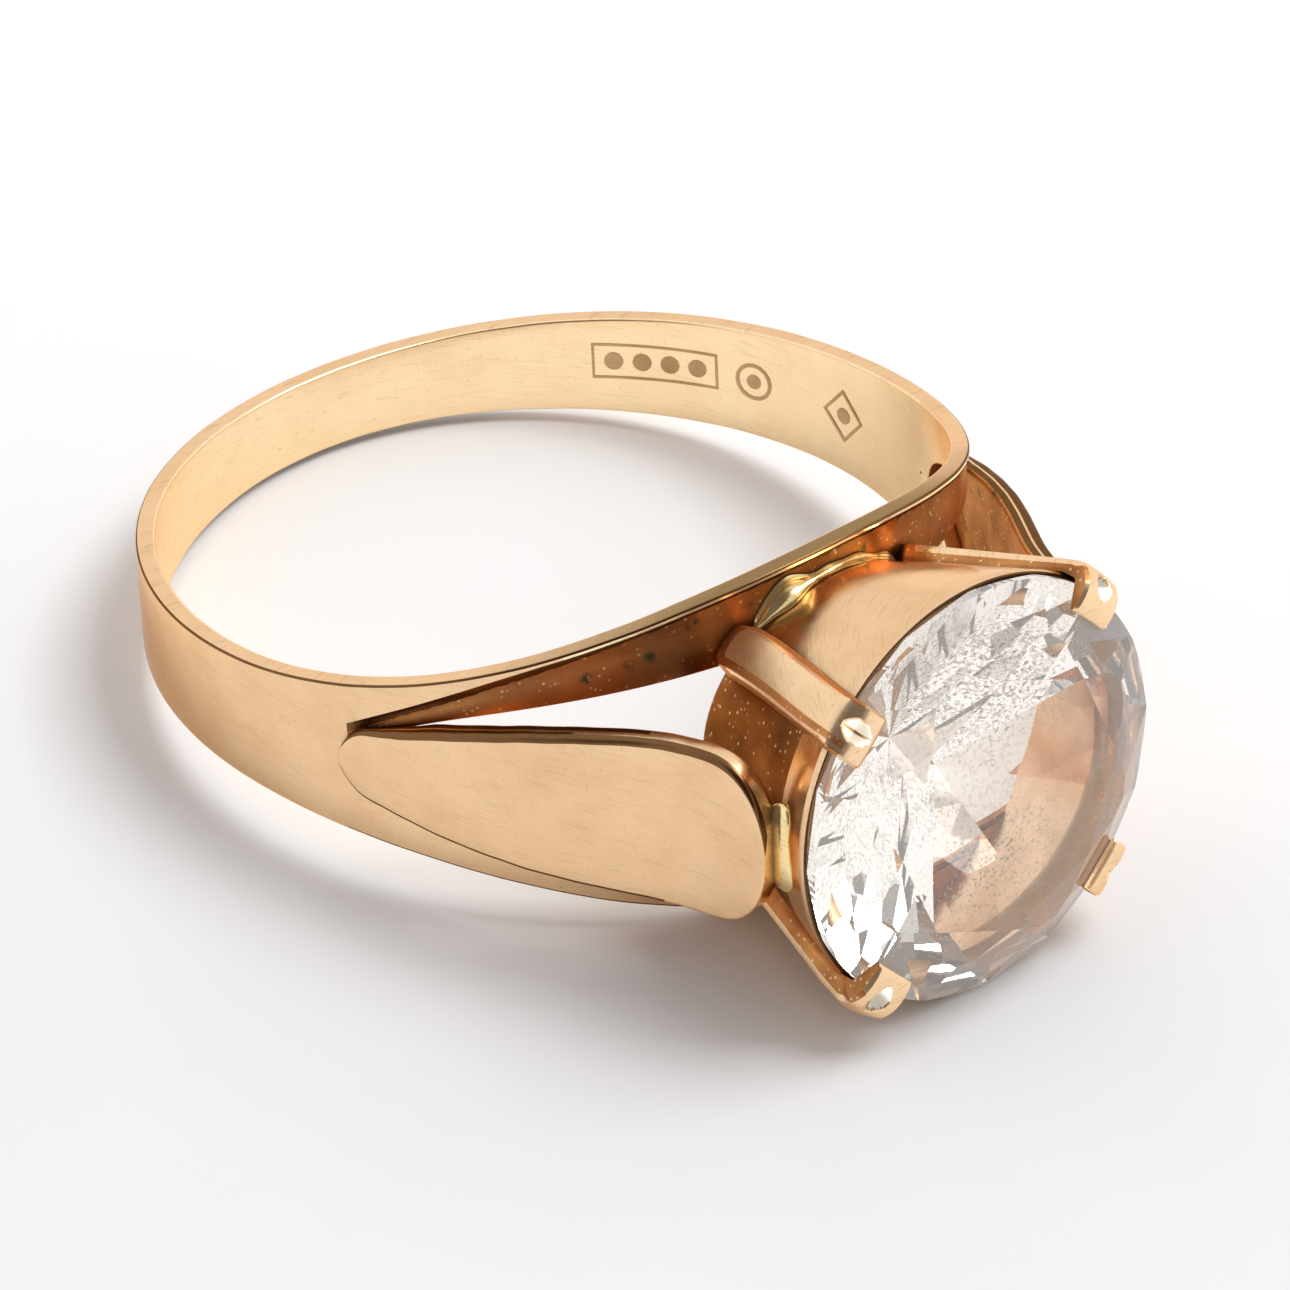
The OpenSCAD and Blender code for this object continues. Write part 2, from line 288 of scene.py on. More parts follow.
def make_leaf(side):
    """One leaf plate, on the left (-1) or the right (1) shoulder."""
    n = 150
    loops, levels = [], []
    for i in range(n + 1):
        f = (1 - math.cos(math.pi * i / n)) / 2
        k = f * (len(LEAF) - 1)
        a = int(min(k, len(LEAF) - 2))
        w = k - a
        x, y, h = [LEAF[a][q] * (1 - w) + LEAF[a + 1][q] * w for q in range(3)]
        half = max(0.03, leaf_half(x) + wobble(x * 2.2, 9.0, 0.012))
        # the plate lies on the band at its narrow end, so only the part proud of the band shows
        room = (math.hypot(x, y) - WALL_R) / max(0.3, math.cos(h - math.atan2(x, -y))) + 0.05
        t = LEAF_T if x > 6.2 else min(LEAF_T, max(0.12, room))
        r = min(0.09, half / 3)
        edge = min(0.15, half / 3, t * 0.4)
        pts = corner_arc(t - edge, half - edge, edge, 0)
        m = t / 2
        pts += [(m + 0.03, half), (m - 0.02, half + 0.004)] + corner_arc(r, half - r, r, 90)
        pts += span(pts[-1], (0, -half + r), 6) + corner_arc(r, -half + r, r, 180)
        pts += [(m - 0.02, -half - 0.004), (m + 0.03, -half)] + corner_arc(t - r, -half + r, r, 270)
        last = pts[-1]
        for q in range(1, 10):
            v = last[1] + (pts[0][1] - last[1]) * q / 10
            pts.append((t + 0.015 * (1 - (v / half) ** 2), v))
        loop = []
        for u, v in pts:
            d = t - u
            yy = y + d * math.cos(h)
            loop.append((x - d * math.sin(h), side * -yy, v))
        loops.append(loop)
        levels.append(x)

    def paint(k, j):
        x = levels[k]
        past_nose = x > LEAF_X + 0.1
        # the leaf's outer corner, top edges and foot line are painted near-black, as painted dark reflection
        # and painted shade
        if (j in LEAF_CORNER and past_nose) or (j in LEAF_FOOT and x < LEAF_FOOT_END):
            return PAINTED_DARK
        end = LEAF_LINE_END if j == LEAF_TOP[0] else LEAF_TOP_END
        if j in LEAF_TOP and past_nose and (side > 0 or x < end):
            return PAINTED_DARK
        return UNPOLISHED if j in LEAF_INNER else PLAIN
    return loft(loops, paint=paint)


# ---------------------------------------------------------------- collet and bearing
def foot_level(phi, grow=0.0):
    """Level where the cone meets the outside of the bridge strips, at azimuth phi."""
    x = WALL_R
    for _ in range(40):
        y = (cone_r(x) + grow) * math.cos(phi)
        x = math.sqrt(max(1.0, WALL_R ** 2 - y * y))
    return x


CUP_PLAIN, CUP_PAINTED_DARK, CUP_RAW_SHADED, CUP_INSIDE = range(4)


def make_collet():
    """The conical cup: outer wall, lip up to the girdle and inner wall."""
    n, m = 288, 26
    top_in = STONE_R - (GIRDLE_X - X_RIM) * STONE_R / PAVILION_H + 0.03
    loops = []
    for i in range(n):
        phi = 2 * math.pi * i / n
        x0 = foot_level(phi)
        c, s = math.cos(phi), math.sin(phi)
        prof = []
        for k in range(m + 1):
            x = x0 + (X_RIM - 0.06 - x0) * k / m
            prof.append((cone_r(x) + wobble(phi * 3, x, 0.015), x))
        prof += [(R_RIM + 0.02, X_RIM + 0.04), (R_RIM + 0.01, GIRDLE_X - 0.03),
                 (STONE_R + 0.02, GIRDLE_X - 0.02), (top_in - 0.02, X_RIM - 0.05)]
        for k in range(m, -1, -1):
            x = x0 + (X_RIM - 0.2 - x0) * k / m
            prof.append((cone_r(x) - COLLET_T, x))
        loops.append([(x, r * c, r * s) for r, x in prof])

    def paint(k, j):
        panel = abs(math.sin(2 * math.pi * k / n)) > math.sqrt(0.5)
        if j > m + 3:
            return CUP_INSIDE
        # the lip's top under the girdle is painted near-black, painted shade
        if j > m:
            return CUP_PAINTED_DARK if j > m + 1 else CUP_PLAIN
        # the side walls up to 0.8 of their height and the foot take the dark raw gold, unpolished finish and
        # also painted shade and dark reflection
        return CUP_PLAIN if j > (1 if panel else 0.80 * m) else CUP_RAW_SHADED
    return loft(loops, closed_path=True, paint=paint)


def make_bearing():
    """The ledge in the cup that the stone's pavilion rests on."""
    n = 160
    lo, hi = X_RIM - 1.15, X_RIM - 0.3

    def pav(x):
        return STONE_R * (x - CULET_X) / PAVILION_H

    prof = [(cone_r(lo) - COLLET_T, lo),
            (cone_r(hi) - COLLET_T, hi),
            (min(pav(hi) + 0.02, cone_r(hi) - COLLET_T - 0.01), hi),
            (pav(lo + 0.35) + 0.03, lo + 0.35),
            (min(pav(lo + 0.3), cone_r(lo) - COLLET_T - 0.15), lo)]
    loops = []
    for i in range(n):
        phi = 2 * math.pi * i / n
        loops.append([(x, r * math.cos(phi), r * math.sin(phi)) for r, x in prof])
    return loft(loops, closed_path=True)


# ---------------------------------------------------------------- claws
def arc_points(cx, cy, r, a0, a1, n):
    out = []
    for k in range(n + 1):
        a = math.radians(a0 + (a1 - a0) * k / n)
        out.append((cx + r * math.cos(a), cy + r * math.sin(a)))
    return out


def claw_rail(tip_r, face_x, slim):
    """Outer and inner line of one claw in its radial plane, as (radius, level) pairs."""
    bar_out = cone_r(X_RIM) + CLAW_T - slim
    foot = cone_r(CLAW_FOOT_X)
    outer = arc_points(foot + CLAW_T - 0.18, CLAW_FOOT_X + 0.20, 0.21, -80, -12, 6)
    outer += [(cone_r(x) + CLAW_T - slim * (x - 8.6) / 4, x) for x in (9.6, 10.6, 11.6, 12.5)]
    cx, cy = bar_out - CLAW_BEND + 0.02, face_x - CLAW_BEND - 0.02
    outer += arc_points(cx, cy, CLAW_BEND, 0, 84, 8)
    d = cx - tip_r
    outer += [(cx - 0.35 * d, face_x - 0.01), (cx - 0.65 * d, face_x - 0.025),
              (cx - 0.88 * d, face_x - 0.045), (tip_r, face_x - 0.09)]
    n_in = len(outer)
    inner = []
    crown_slope = CROWN_H / (STONE_R - TABLE_R)
    for q in range(7):
        x = CLAW_FOOT_X + 0.02 + 0.5 * q / 6
        inner.append((cone_r(x) - 0.05, x))
    inner += [(cone_r(x) - 0.04, x) for x in (9.6, 10.6, 11.6, 12.4)]
    left = n_in - len(inner)
    for q in range(left):
        f = q / (left - 1)
        if f < 0.45:
            g = f / 0.45
            inner.append((STONE_R + 0.04, X_RIM + 0.02 + (CROWN_X - X_RIM) * g))
        else:
            g = (f - 0.45) / 0.55
            r = STONE_R + 0.04 + (tip_r - STONE_R - 0.04) * g
            inner.append((r, CROWN_X + 0.03 + crown_slope * max(0.0, STONE_R - r)))
    return outer, inner


def resample(outer, inner, n):
    """Evenly spaced stations along the outer line; each adds the length left to the tip."""
    pts = [(o[0], o[1], i[0], i[1]) for o, i in zip(outer, inner)]
    seg = [math.hypot(b[0] - a[0], b[1] - a[1]) + 1e-6 for a, b in zip(pts, pts[1:])]
    total, out = sum(seg), []
    for q in range(n + 1):
        d, k = total * q / n, 0
        while k < len(seg) - 1 and d > seg[k]:
            d -= seg[k]
            k += 1
        t = min(1.0, d / seg[k])
        here = tuple(pts[k][j] + (pts[k + 1][j] - pts[k][j]) * t for j in range(4))
        out.append(here + (total * (1 - q / n),))
    return out


# The bar is nearly flat out to this share of its half width, then falls away to its sides
BAR_FLAT = 0.76
CLAW_PLAIN, CLAW_RAW_AND_REFLECTION, CLAW_FILED_SHINE = range(3)


def make_claw(turn, tip_r, face_x, skew, slim, raw_and_reflection_stripe, cut_from, cut_to, reflection_flank_from):
    """A bar up the cup wall, bent over the crown. A stripe across the bar, given from -1 to 1, takes the
    unpolished gold, as rough finish and also as painted dark reflection;
    cut_from and cut_to give the file cut as lengths from the tip; past the flank share of the half width the
    sides take the same paint."""
    outer, inner = claw_rail(tip_r, face_x, slim)
    stations = resample(outer, inner, 150)
    total, across = len(stations) - 1, 40
    loops, files = [], []
    c, s = math.cos(turn), math.sin(turn)
    for q, (ro, xo, ri, xi, left) in enumerate(stations):
        f = q / total
        foot = min(1.0, f / 0.075)
        w = CLAW_W / 2 * math.sqrt(max(0.05, 1 - (1 - foot) ** 2))
        du, dx = ro - ri, xo - xi
        flat = smooth((1.35 - left) / 0.25)
        reach = (cut_from - left) / (cut_from - cut_to)
        gouge = math.sin(math.pi * reach) ** 0.7 if 0 < reach < 1 else 0.0
        side = skew * smooth((f - 0.1) / 0.9)
        loop, row = [], []
        for k in range(across + 1):
            a = -1 + 2 * k / across
            if abs(a) < BAR_FLAT:
                half_round = 1 - 0.10 * abs(a / BAR_FLAT) ** 3
            else:
                half_round = 0.90 - 0.66 * ((abs(a) - BAR_FLAT) / (1 - BAR_FLAT)) ** 1.2
            face = 1 - 0.05 * abs(a) ** 3 - 0.20 * smooth((abs(a) - 0.90) / 0.10)
            g = half_round * (1 - flat) + face * flat
            depth = max(0.0, 0.33 * gouge - abs(a * 0.6 + 0.03) * 1.2) / max(0.2, math.hypot(du, dx))
            row.append(depth > 0.02)
            loop.append((ri + du * max(0.04, g - depth), xi + dx * max(0.04, g - depth), a * w + side))
        for k in range(7):
            loop.append((ri, xi, (1 - 2 * k / 6) * w * 0.97 + side))
        files.append((row, flat, left))
        loops.append([(x, r * c - t * s, r * s + t * c) for r, x, t in loop])

    def paint(k, j):
        row, flat, left = files[k]
        at = -1 + 2 * (j + 0.5) / across
        # the file-cut faces take a whitish glowing gold, a painted highlight
        if j < across and row[j] and row[min(across, j + 1)] and abs(at + 0.05) > 0.07:
            return CLAW_FILED_SHINE
        end = min(1.0, max(0.0, (22 - k) / 11))
        # the stripe and the sides take the unpolished gold, standing for rough finish and painted dark
        # reflection
        raw_and_reflection = abs(at) > reflection_flank_from * math.sqrt(1 - end ** 2) or raw_and_reflection_stripe[0] < at < raw_and_reflection_stripe[1]
        return CLAW_RAW_AND_REFLECTION if j >= across or (raw_and_reflection and left > 0.75) else CLAW_PLAIN
    return loft(loops, paint=paint)


# ---------------------------------------------------------------- stone
def make_stone():
    """A round rod cut by the facet planes of a brilliant. Facets under the girdle get material 1."""
    bm = bmesh.new()
    n = 192
    lo, hi = CULET_X - 1, TABLE_X
    bottom = []
    for i in range(n):
        a = 2 * math.pi * i / n
        bottom.append(bm.verts.new((lo, STONE_R * math.cos(a), STONE_R * math.sin(a))))
    top = [bm.verts.new((hi, v.co.y, v.co.z)) for v in bottom]
    bm.faces.new(bottom)
    bm.faces.new(list(reversed(top)))
    for i in range(n):
        j = (i + 1) % n
        bm.faces.new((bottom[i], bottom[j], top[j], top[i]))

    def cut(turn, r, x, slope, way):
        t = math.radians(turn)
        radial = Vector((0, math.cos(t), math.sin(t)))
        point = Vector((x, 0, 0)) + radial * r
        normal = radial * math.sin(math.radians(slope)) + Vector((way, 0, 0)) * math.cos(math.radians(slope))
        geom = bm.verts[:] + bm.edges[:] + bm.faces[:]
        res = bmesh.ops.bisect_plane(bm, geom=geom, dist=1e-5, plane_co=point, plane_no=normal,
                                     clear_outer=True)
        edges = [e for e in res["geom_cut"] if isinstance(e, bmesh.types.BMEdge) and e.is_boundary]
        if edges:
            bmesh.ops.contextual_create(bm, geom=edges)

    main = math.degrees(math.atan(CROWN_H / (STONE_R - TABLE_R)))
    pav = math.degrees(math.atan(PAVILION_H / STONE_R))
    chord = STONE_R * math.cos(math.radians(11.25))
    for k in range(8):
        cut(45 * k, STONE_R, CROWN_X, main, 1)
        cut(22.5 + 45 * k, TABLE_R * math.cos(math.radians(22.5)), TABLE_X, STAR_SLOPE, 1)
        cut(45 * k, STONE_R, GIRDLE_X, pav, -1)
    for k in range(16):
        cut(11.25 + 22.5 * k, chord, CROWN_X, UPPER_SLOPE, 1)
        cut(11.25 + 22.5 * k, chord, GIRDLE_X, LOWER_SLOPE, -1)
    bmesh.ops.remove_doubles(bm, verts=bm.verts, dist=1e-4)
    for f in bm.faces:
        f.material_index = 1 if f.calc_center_median().x < GIRDLE_X else 0
    return bm


# ---------------------------------------------------------------- solder
def make_solder_run(up):
    """An uneven drawn-up fillet between the collet foot and one bridge strip."""
    n, m = 110, 12
    loops = []
    for i in range(n + 1):
        a = math.radians(90 + (-36 + 72 * i / n)) * up
        x0 = foot_level(a)
        fade = math.sqrt(max(0.02, 1 - abs(2 * i / n - 1) ** 6))
        pool = smooth(1 - abs(i / n - 0.80) / 0.24)
        h = (0.21 + 0.12 * pool + wobble(i * 0.05, up, 0.16)) * fade
        w = (0.17 + 0.34 * pool + wobble(i * 0.06, up + 4, 0.14)) * fade
        loop = []
        for k in range(m + 1):
            f = k / m
            x = x0 + h * f ** 1.7 - 0.03 * (1 - f)
            r = cone_r(x) + w * (1 - f) ** 1.7 + 0.012 + wobble(i * 0.12, k * 0.3, 0.012)
            y = r * math.cos(a)
            base = math.sqrt(max(1.0, WALL_R ** 2 - y * y))
            loop.append((max(x, base + 0.01) if k else base - 0.04, r * math.cos(a), r * math.sin(a)))
        for x, r in ((x0 + 0.1, cone_r(x0 + 0.1) - 0.12), (x0 - 0.1, cone_r(x0) - 0.10)):
            loop.append((x, r * math.cos(a), r * math.sin(a)))
        loops.append(loop)
    return loft(loops)


def make_solder_bead(side):
    """The pale run that joins one leaf end to the collet wall."""
    n, m = 70, 20
    loops = []
    for i in range(n + 1):
        z = -1.05 + 2.1 * i / n
        fade = math.sqrt(max(0.02, 1 - abs(2 * i / n - 1) ** 4))
        r = (0.18 + wobble(z * 1.6, side, 0.06)) * fade
        cx = LEAF_END_X - 0.06 + wobble(z * 1.8, 5 + side, 0.06)
        cy = -math.sqrt(max(1.0, cone_r(LEAF_END_X) ** 2 - z * z)) - 0.05
        loop = []
        for k in range(m):
            a = 2 * math.pi * k / m
            rr = r * (1 + wobble(k * 0.8, z * 2, 0.12))
            loop.append((cx + 0.05 + rr * 2.3 * math.cos(a), (cy + rr * 0.75 * math.sin(a)) * -side, z))
        loops.append(loop)
    return loft(loops)


def on_inner_wall(bm, outline, at, depth=0.012):
    """A thin plate that follows the inside of the band; outline in (along, up) mm round at."""
    rows = []
    for lift in (0.0, 0.05):
        row = []
        for along, up in outline:
            th = at[0] + along / HOLE_R
            r = HOLE_R - depth + lift
            row.append(bm.verts.new((r * math.cos(th), r * math.sin(th), at[1] + up)))
        rows.append(row)
    bm.faces.new(rows[0])
    bm.faces.new(list(reversed(rows[1])))
    n = len(outline)
    for i in range(n):
        bm.faces.new((rows[0][i], rows[0][(i + 1) % n], rows[1][(i + 1) % n], rows[1][i]))


def make_stamps():
    """Plain generic punch marks: a bar frame with pellets, a ring with a pellet, and a lozenge."""
    bm = bmesh.new()

    def bar(at, x0, x1, z0, z1):
        n = max(1, round((x1 - x0) / 0.2))
        for k in range(n):
            a, b = x0 + (x1 - x0) * k / n, x0 + (x1 - x0) * (k + 1) / n
            on_inner_wall(bm, [(a, z0), (b, z0), (b, z1), (a, z1)], at)

    def dot(at, x, z, r, n=12):
        turns = [2 * math.pi * k / n for k in range(n)]
        on_inner_wall(bm, [(x + r * math.cos(t), z + r * math.sin(t)) for t in turns], at)

    a = (math.radians(STAMP_A), STAMP_Z)
    for z in (-0.44, 0.38):
        bar(a, -1.45, 1.45, z, z + 0.06)
    for x in (-1.45, 1.39):
        bar(a, x, x + 0.06, -0.38, 0.38)
    for k in range(4):
        dot(a, -0.96 + 0.64 * k, 0, 0.22)
    b = (math.radians(STAMP_B), STAMP_Z - 0.05)
    for k in range(16):
        t0, t1 = 2 * math.pi * k / 16, 2 * math.pi * (k + 1) / 16
        corners = ((0.46, t0), (0.46, t1), (0.37, t1), (0.37, t0))
        on_inner_wall(bm, [(r * math.cos(t), r * math.sin(t)) for r, t in corners], b)
    dot(b, 0, 0, 0.18)
    c = (math.radians(STAMP_C), STAMP_Z - 0.10)
    corners = [(0.62, 0), (0, 0.66), (-0.62, 0), (0, -0.66)]
    for k in range(4):
        p, q = corners[k], corners[(k + 1) % 4]
        on_inner_wall(bm, [p, q, (q[0] * 0.84, q[1] * 0.84), (p[0] * 0.84, p[1] * 0.84)], c)
    dot(c, 0, 0, 0.2)
    return bm


# ---------------------------------------------------------------- materials
def nodes_of(name):
    """A new material with its node tree and Principled node."""
    m = bpy.data.materials.new(name)
    m.use_nodes = True
    t = m.node_tree
    b = t.nodes["Principled BSDF"]
    return m, t, b


def node(t, kind, **kw):
    n = t.nodes.new(kind)
    for k, v in kw.items():
        setattr(n, k, v)
    return n


def noise_tex(t, source, scale, detail=4.0, stretch=None, turn=0.0):
    n = node(t, "ShaderNodeTexNoise")
    n.inputs["Scale"].default_value = scale
    n.inputs["Detail"].default_value = detail
    if stretch:
        mp = node(t, "ShaderNodeMapping")
        mp.inputs["Scale"].default_value = stretch
        mp.inputs["Rotation"].default_value = (0, turn, turn * 0.5)
        t.links.new(source, mp.inputs["Vector"])
        source = mp.outputs["Vector"]
    t.links.new(source, n.inputs["Vector"])
    return n.outputs["Fac"]


def ramp(t, source, stops):
    """Colour ramp; each stop is (position, grey value or colour)."""
    r = node(t, "ShaderNodeValToRGB")
    while len(r.color_ramp.elements) < len(stops):
        r.color_ramp.elements.new(0.5)
    for e, (at, value) in zip(r.color_ramp.elements, stops):
        e.position = at
        e.color = (*value, 1) if isinstance(value, tuple) else (value, value, value, 1)
    t.links.new(source, r.inputs["Fac"])
    return r.outputs["Color"]


def mix(t, fac, a, b, mode="MIX"):
    m = node(t, "ShaderNodeMix", data_type="RGBA", blend_type=mode)
    if isinstance(fac, float):
        m.inputs[0].default_value = fac
    else:
        t.links.new(fac, m.inputs[0])
    for socket, value in ((m.inputs[6], a), (m.inputs[7], b)):
        if isinstance(value, tuple):
            socket.default_value = (*value, 1)
        else:
            t.links.new(value, socket)
    return m.outputs[2]


def gold(name, base, rough, tint, cloud=0.35, scratch=0.5, pits=0.0, crevice_dirt_and_shade=0.8, green=0.0,
         metal=1.0, painted_glare=0.0, dark_to=None):
    """Worked gold: cloudy colour, fine scratches in two directions, specks, and dirt with painted shade in
    the corners.
    With dark_to the colour runs to that one towards the head; the emission strength is painted glare, a glow
    standing in for bright reflected light."""
    m, t, b = nodes_of(name)
    L = t.links.new
    co = node(t, "ShaderNodeTexCoord").outputs["Object"]
    clouds = noise_tex(t, co, 700.0, 5.0)
    along = noise_tex(t, co, 1.0, 6.0, (1300, 1300, 36000))
    across = noise_tex(t, co, 1.0, 4.0, (30000, 2500, 9000), 0.7)
    color = mix(t, ramp(t, clouds, [(0.42, 0.0), (0.75, cloud)]), base, tint)
    color = mix(t, 1.0, color, ramp(t, along, [(0.33, 1 - 0.28 * scratch), (0.43, 1.0)]), "MULTIPLY")
    if dark_to:
        place = node(t, "ShaderNodeSeparateXYZ")
        L(co, place.inputs[0])
        reach = node(t, "ShaderNodeMapRange")
        reach.inputs["From Min"].default_value = 0.0048
        reach.inputs["From Max"].default_value = 0.0076
        L(place.outputs["X"], reach.inputs["Value"])
        color = mix(t, reach.outputs["Result"], color, dark_to)
    lines = ramp(t, across, [(0.65, 0.0), (0.69, 0.8 * scratch)])
    color = mix(t, lines, color, (base[0] * 0.55, base[1] * 0.48, base[2] * 0.4))
    if pits:
        v = node(t, "ShaderNodeTexVoronoi")
        v.inputs["Scale"].default_value = 6200.0
        L(co, v.inputs["Vector"])
        specks = ramp(t, v.outputs["Distance"], [(0.12, pits), (0.26, 0.0)])
        keep = ramp(t, noise_tex(t, co, 2600.0, 3.0), [(0.44, 0.0), (0.56, 1.0)])
        color = mix(t, mix(t, 1.0, specks, keep, "MULTIPLY"), color, (1.0, 0.80, 0.50))
    if crevice_dirt_and_shade:
        # Dirt and painted shade: the colour is darkened to a near-black brown where ambient occlusion finds
        # near surfaces, in corners, seams and under parts
        ao = node(t, "ShaderNodeAmbientOcclusion")
        ao.samples = 8
        ao.inputs["Distance"].default_value = 0.00035
        crevice_dirt_and_shade_mask = ramp(t, ao.outputs["AO"], [(0.35, crevice_dirt_and_shade), (0.80, 0.0)])
        color = mix(t, crevice_dirt_and_shade_mask, color, (0.10, 0.045, 0.015))
    if green:
        v = node(t, "ShaderNodeTexVoronoi")
        v.inputs["Scale"].default_value = 1150.0
        L(co, v.inputs["Vector"])
        ragged = ramp(t, noise_tex(t, co, 4200.0, 3.0), [(0.42, 0.0), (0.54, 1.0)])
        spot = mix(t, 1.0, ramp(t, v.outputs["Distance"], [(0.08, green), (0.24, 0.0)]), ragged, "MULTIPLY")
        color = mix(t, spot, color, (0.02, 0.10, 0.05))
    b.inputs["Metallic"].default_value = metal
    b.inputs["Specular Tint"].default_value = (*(0.4 + 0.6 * c for c in base), 1)
    # Painted glare: emission in the base colour makes the metal glow faintly
    b.inputs["Emission Color"].default_value = (*base, 1)
    b.inputs["Emission Strength"].default_value = painted_glare
    L(color, b.inputs["Base Color"])
    rr = node(t, "ShaderNodeMapRange")
    rr.inputs["From Min"].default_value = 0.3
    rr.inputs["From Max"].default_value = 0.7
    rr.inputs["To Min"].default_value = rough * 0.65
    rr.inputs["To Max"].default_value = rough * 1.45
    L(clouds, rr.inputs["Value"])
    L(rr.outputs["Result"], b.inputs["Roughness"])
    bump = node(t, "ShaderNodeBump")
    bump.inputs["Strength"].default_value = 0.25 * scratch
    bump.inputs["Distance"].default_value = 0.00001
    L(along, bump.inputs["Height"])
    bump2 = node(t, "ShaderNodeBump")
    bump2.inputs["Strength"].default_value = 0.20 * scratch
    bump2.inputs["Distance"].default_value = 0.00004
    L(noise_tex(t, co, 2400.0, 3.0), bump2.inputs["Height"])
    L(bump.outputs["Normal"], bump2.inputs["Normal"])
    L(bump2.outputs["Normal"], b.inputs["Normal"])
    return m


def crystal(name, dusty):
    """Clear stone; the facets under the girdle also carry specks of dust and polish."""
    m, t, b = nodes_of(name)
    b.inputs["Base Color"].default_value = (0.985, 0.94, 0.875, 1)
    b.inputs["Transmission Weight"].default_value = 1.0
    b.inputs["IOR"].default_value = 1.544
    b.inputs["Roughness"].default_value = 0.0
    # Painted glow: a faint warm emission lifts the stone
    b.inputs["Emission Color"].default_value = (0.93, 0.87, 0.84, 1)
    b.inputs["Emission Strength"].default_value = 0.05
    co = node(t, "ShaderNodeTexCoord").outputs["Object"]
    if not dusty:
        wear = ramp(t, noise_tex(t, co, 3000.0, 4.0), [(0.60, 0.0), (0.80, 0.05)])
        t.links.new(wear, b.inputs["Roughness"])
        return m
    fine = noise_tex(t, co, 9000.0, 2.0)
    wide = noise_tex(t, co, 420.0, 3.0)
    dust = node(t, "ShaderNodeBsdfPrincipled")
    dust.inputs["Roughness"].default_value = 0.9
    grains = noise_tex(t, co, 16000.0, 1.0)
    grains = ramp(t, grains, [(0.40, (0.16, 0.12, 0.09)), (0.52, (0.88, 0.80, 0.70))])
    t.links.new(grains, dust.inputs["Base Color"])
    # the dust specks glow faintly as well, painted light
    t.links.new(grains, dust.inputs["Emission Color"])
    dust.inputs["Emission Strength"].default_value = 0.15
    axis = tuple(Matrix.Rotation(-TILT, 3, "Y") @ Vector((1, 0, 0)))
    along = node(t, "ShaderNodeVectorMath", operation="PROJECT")
    t.links.new(co, along.inputs[0])
    along.inputs[1].default_value = axis
    off = node(t, "ShaderNodeVectorMath", operation="SUBTRACT")
    t.links.new(co, off.inputs[0])
    t.links.new(along.outputs[0], off.inputs[1])
    far = node(t, "ShaderNodeVectorMath", operation="LENGTH")
    t.links.new(off.outputs[0], far.inputs[0])
    middle = node(t, "ShaderNodeMapRange")
    middle.inputs["From Min"].default_value = 0.0024
    middle.inputs["From Max"].default_value = 0.0036
    middle.inputs["To Min"].default_value = 1.0
    middle.inputs["To Max"].default_value = 0.07
    t.links.new(far.outputs["Value"], middle.inputs["Value"])
    spread = mix(t, 1.0, ramp(t, wide, [(0.38, 0.10), (0.62, 1.0)]), middle.outputs["Result"], "MULTIPLY")
    cover = mix(t, 1.0, ramp(t, fine, [(0.50, 0.0), (0.60, 0.75)]), spread, "MULTIPLY")
    ms = node(t, "ShaderNodeMixShader")
    t.links.new(cover, ms.inputs[0])
    t.links.new(b.outputs[0], ms.inputs[1])
    t.links.new(dust.outputs[0], ms.inputs[2])
    t.links.new(ms.outputs[0], t.nodes["Material Output"].inputs["Surface"])
    return m


GOLD = gold("gold_polished", (0.97, 0.66, 0.385), 0.20, tint=(0.78, 0.46, 0.20), cloud=0.4)
# Painted dark reflection and shade: a near-black brown on the outer top corners of band, strips and leaves,
# the strip's bevel, the leaf's top edges and foot line, and the collet lip under the girdle
PAINTED_DARK_EDGE = gold("gold_painted_dark_edge", (0.22, 0.11, 0.045), 0.25, tint=(0.10, 0.05, 0.02), scratch=0.3)
# Painted light: the inside face is made paler and faintly glowing, standing for light bounced round inside
# the hoop
INNER_GLOW_PAINT = gold("gold_inner_painted_glow", (1.0, 0.76, 0.46), 0.22, tint=(0.92, 0.62, 0.33), crevice_dirt_and_shade=0.3, painted_glare=0.07)
RAW = gold("gold_unpolished", (0.70, 0.32, 0.115), 0.42, tint=(0.33, 0.14, 0.045), cloud=0.8, pits=1.0,
           green=0.9)
CUP = gold("gold_collet_polished", (0.95, 0.65, 0.38), 0.17, tint=(0.74, 0.44, 0.20), scratch=0.5)
# Dark raw gold of the collet, both unpolished finish and painted shade and dark reflection on the side walls
CUP_RAW_AND_SHADE = gold("gold_collet_raw_and_painted_shade", (0.36, 0.145, 0.045), 0.38, tint=(0.16, 0.06, 0.02), cloud=0.9, pits=1.0)
CUP_IN = gold("gold_collet_inside", (0.90, 0.64, 0.42), 0.30, tint=(0.70, 0.42, 0.22), crevice_dirt_and_shade=0.3)
# Painted highlight: the file-cut faces get a whitish base and a strong emission so they read as catching the
# light
FILED_SHINE_PAINT = gold("gold_filed_painted_shine", (1.0, 0.93, 0.80), 0.30, tint=(1.0, 0.85, 0.6), scratch=0.2, crevice_dirt_and_shade=0.0,
             painted_glare=0.35)
# The claws glow faintly, painted glare
CLAW = gold("gold_claw", (0.98, 0.69, 0.42), 0.25, tint=(0.78, 0.48, 0.22), scratch=0.7, crevice_dirt_and_shade=0.15,
            painted_glare=0.06)
RIM = gold("gold_rim", (0.97, 0.66, 0.385), 0.20, tint=(0.78, 0.46, 0.20), cloud=0.4,
           dark_to=(0.34, 0.22, 0.10))
